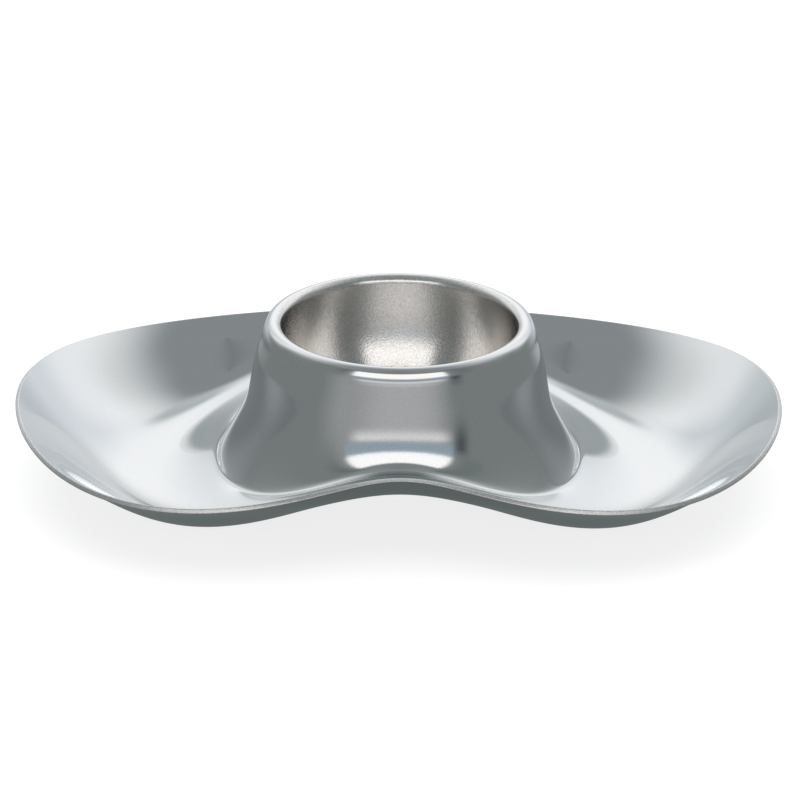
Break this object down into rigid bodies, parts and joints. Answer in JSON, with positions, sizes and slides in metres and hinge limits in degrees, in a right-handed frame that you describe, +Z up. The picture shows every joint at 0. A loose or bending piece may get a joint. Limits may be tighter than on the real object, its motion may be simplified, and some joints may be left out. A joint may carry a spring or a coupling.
{
  "type": "egg cup",
  "caption": "Stainless steel egg cup: a round bowl with a rolled rim on a flared neck, rising from a long waisted dish for shell and salt.",
  "frame": {"origin": "on the table, under the middle of the cup", "axes": "+X along the dish, towards its right end; +Y across its waist, towards the back; +Z up through the bowl"},
  "size_m": [0.1414, 0.0916, 0.0311],
  "materials": {
    "polished_steel": "mirror polished stainless steel on the dish, running into a satin neck",
    "satin_steel": "fine satin stainless steel with a soft sheen",
    "weld_steel": "weld seam ground flush and satin finished"
  },
  "bodies": {
    "root": {"dish": "polished_steel", "egg_bowl": "satin_steel", "rim_weld": "weld_steel"}
  },
  "joints": []
}
